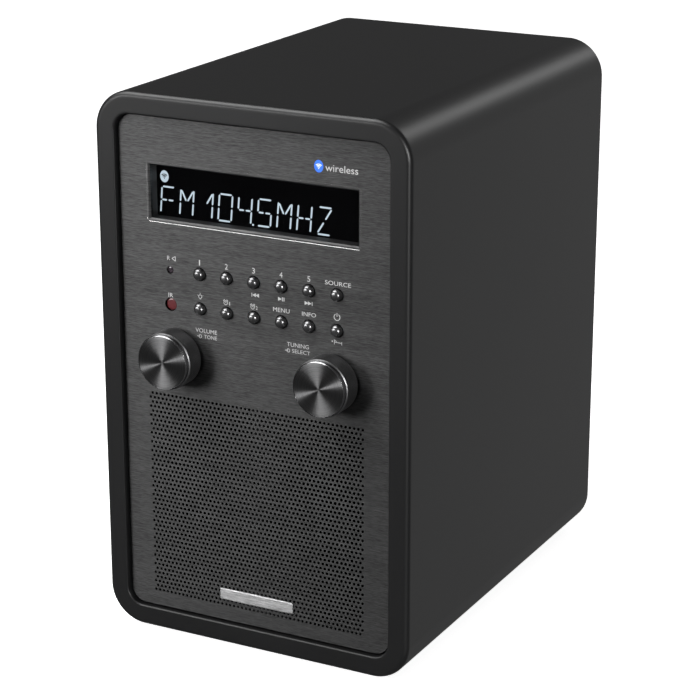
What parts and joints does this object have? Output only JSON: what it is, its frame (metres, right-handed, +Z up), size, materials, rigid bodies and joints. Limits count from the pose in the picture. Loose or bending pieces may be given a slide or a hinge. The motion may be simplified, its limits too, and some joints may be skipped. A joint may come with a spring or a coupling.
{
  "type": "tabletop radio",
  "caption": "Upright tabletop radio: painted wooden tube cabinet, brushed metal front with display, push keys, two rotary knobs and a perforated loudspeaker field",
  "frame": {"origin": "under the middle of the radio's overall box, at the underside of the feet", "axes": "+Z up, front towards -Y, +X to the right seen from the front"},
  "size_m": [0.118, 0.1738, 0.1935],
  "materials": {
    "cabinet_paint": "satin black paint over wood",
    "brushed_dark": "dark anodised, brushed across",
    "spun_dark": "dark, turned on a lathe",
    "silver_badge": "plain satin silver bar",
    "black_plastic": "moulded, matt",
    "knob_dark": "fine knurled",
    "key_gloss": "dark metallic gloss",
    "clear_lens": "smoked clear",
    "display_dark": "black display glass",
    "white_diffuser": "milky",
    "lamp_lens": "dark tinted",
    "infrared_red": "dark red, see-through to infrared",
    "board_green": "solder resist",
    "bright_steel": "zinc plated",
    "black_steel": "black oxide",
    "brass_nickel": "nickel plated",
    "raw_wood": "sawn softwood",
    "cloth_black": "open acoustic cloth",
    "cone_paper": "pressed pulp",
    "roll_rubber": "soft",
    "spider_cloth": "varnished cotton",
    "magnet_ferrite": "ground ferrite",
    "coil_copper": "enamelled wire",
    "foot_rubber": "matt"
  },
  "bodies": {
    "cabinet": {"aerial_socket": "brass_nickel", "audio_jacks": "black_plastic", "badge_bar": "silver_badge", "baffle": "black_plastic", "baffle_screws": "bright_steel", "board_pillars": "brass_nickel", "board_screws": "bright_steel", "cabinet": "cabinet_paint", "cabinet_cleats": "raw_wood", "display_backlight": "white_diffuser", "display_glass": "display_dark", "display_lens": "clear_lens", "encoder_bushings": "brass_nickel", "encoder_housings": "black_plastic", "encoder_nuts": "bright_steel", "feet": "foot_rubber", "front_board": "board_green", "front_panel": "brushed_dark", "grille_cloth": "cloth_black", "infrared_receiver": "black_plastic", "infrared_window": "infrared_red", "key_switches": "bright_steel", "main_board": "board_green", "power_inlet": "black_plastic", "rear_panel": "black_plastic", "rear_screws": "black_steel", "speaker_basket": "black_steel", "speaker_magnet": "magnet_ferrite", "speaker_screws": "bright_steel", "speaker_spider": "spider_cloth", "speaker_surround": "roll_rubber", "speaker_top_plate": "bright_steel", "speaker_yoke": "bright_steel", "status_lamp": "lamp_lens"},
    "button_1": {"button_1": "key_gloss"},
    "button_2": {"button_2": "key_gloss"},
    "button_3": {"button_3": "key_gloss"},
    "button_4": {"button_4": "key_gloss"},
    "button_5": {"button_5": "key_gloss"},
    "button_source": {"button_source": "key_gloss"},
    "button_light": {"button_light": "key_gloss"},
    "button_alarm_1": {"button_alarm_1": "key_gloss"},
    "button_alarm_2": {"button_alarm_2": "key_gloss"},
    "button_menu": {"button_menu": "key_gloss"},
    "button_info": {"button_info": "key_gloss"},
    "button_power": {"button_power": "key_gloss"},
    "volume_rotor": {"volume_rotor": "white_diffuser"},
    "volume_knob": {"volume_knob": "knob_dark", "volume_knob_face": "spun_dark", "volume_shaft": "bright_steel"},
    "tuning_rotor": {"tuning_rotor": "white_diffuser"},
    "tuning_knob": {"tuning_knob": "knob_dark", "tuning_knob_face": "spun_dark", "tuning_shaft": "bright_steel"},
    "speaker_cone": {"speaker_cone": "cone_paper", "voice_coil": "coil_copper", "dust_cap": "cone_paper"}
  },
  "joints": [
    {"name": "button_1_press", "type": "slide", "parent": "cabinet", "child": "button_1", "axis": [0, 1, 0], "range_m": [0, 0.0008], "stiffness_N_per_m": 800, "springref_m": -0.0006},
    {"name": "button_2_press", "type": "slide", "parent": "cabinet", "child": "button_2", "axis": [0, 1, 0], "range_m": [0, 0.0008], "stiffness_N_per_m": 800, "springref_m": -0.0006},
    {"name": "button_3_press", "type": "slide", "parent": "cabinet", "child": "button_3", "axis": [0, 1, 0], "range_m": [0, 0.0008], "stiffness_N_per_m": 800, "springref_m": -0.0006},
    {"name": "button_4_press", "type": "slide", "parent": "cabinet", "child": "button_4", "axis": [0, 1, 0], "range_m": [0, 0.0008], "stiffness_N_per_m": 800, "springref_m": -0.0006},
    {"name": "button_5_press", "type": "slide", "parent": "cabinet", "child": "button_5", "axis": [0, 1, 0], "range_m": [0, 0.0008], "stiffness_N_per_m": 800, "springref_m": -0.0006},
    {"name": "button_source_press", "type": "slide", "parent": "cabinet", "child": "button_source", "axis": [0, 1, 0], "range_m": [0, 0.0008], "stiffness_N_per_m": 800, "springref_m": -0.0006},
    {"name": "button_light_press", "type": "slide", "parent": "cabinet", "child": "button_light", "axis": [0, 1, 0], "range_m": [0, 0.0008], "stiffness_N_per_m": 800, "springref_m": -0.0006},
    {"name": "button_alarm_1_press", "type": "slide", "parent": "cabinet", "child": "button_alarm_1", "axis": [0, 1, 0], "range_m": [0, 0.0008], "stiffness_N_per_m": 800, "springref_m": -0.0006},
    {"name": "button_alarm_2_press", "type": "slide", "parent": "cabinet", "child": "button_alarm_2", "axis": [0, 1, 0], "range_m": [0, 0.0008], "stiffness_N_per_m": 800, "springref_m": -0.0006},
    {"name": "button_menu_press", "type": "slide", "parent": "cabinet", "child": "button_menu", "axis": [0, 1, 0], "range_m": [0, 0.0008], "stiffness_N_per_m": 800, "springref_m": -0.0006},
    {"name": "button_info_press", "type": "slide", "parent": "cabinet", "child": "button_info", "axis": [0, 1, 0], "range_m": [0, 0.0008], "stiffness_N_per_m": 800, "springref_m": -0.0006},
    {"name": "button_power_press", "type": "slide", "parent": "cabinet", "child": "button_power", "axis": [0, 1, 0], "range_m": [0, 0.0008], "stiffness_N_per_m": 800, "springref_m": -0.0006},
    {"name": "volume_turn", "type": "hinge", "parent": "cabinet", "child": "volume_rotor", "pos_m": [-0.0298, -0.07695, 0.1039], "axis": [0, 1, 0], "continuous": true},
    {"name": "volume_push", "type": "slide", "parent": "volume_rotor", "child": "volume_knob", "axis": [0, 1, 0], "range_m": [0, 0.0005], "stiffness_N_per_m": 3000, "springref_m": -0.0006},
    {"name": "tuning_turn", "type": "hinge", "parent": "cabinet", "child": "tuning_rotor", "pos_m": [0.0298, -0.07695, 0.1039], "axis": [0, 1, 0], "continuous": true},
    {"name": "tuning_push", "type": "slide", "parent": "tuning_rotor", "child": "tuning_knob", "axis": [0, 1, 0], "range_m": [0, 0.0005], "stiffness_N_per_m": 3000, "springref_m": -0.0006},
    {"name": "speaker_cone_travel", "type": "slide", "parent": "cabinet", "child": "speaker_cone", "axis": [0, 1, 0], "range_m": [-0.001, 0.001], "stiffness_N_per_m": 1500, "deforming": ["speaker_surround", "speaker_spider"]}
  ]
}
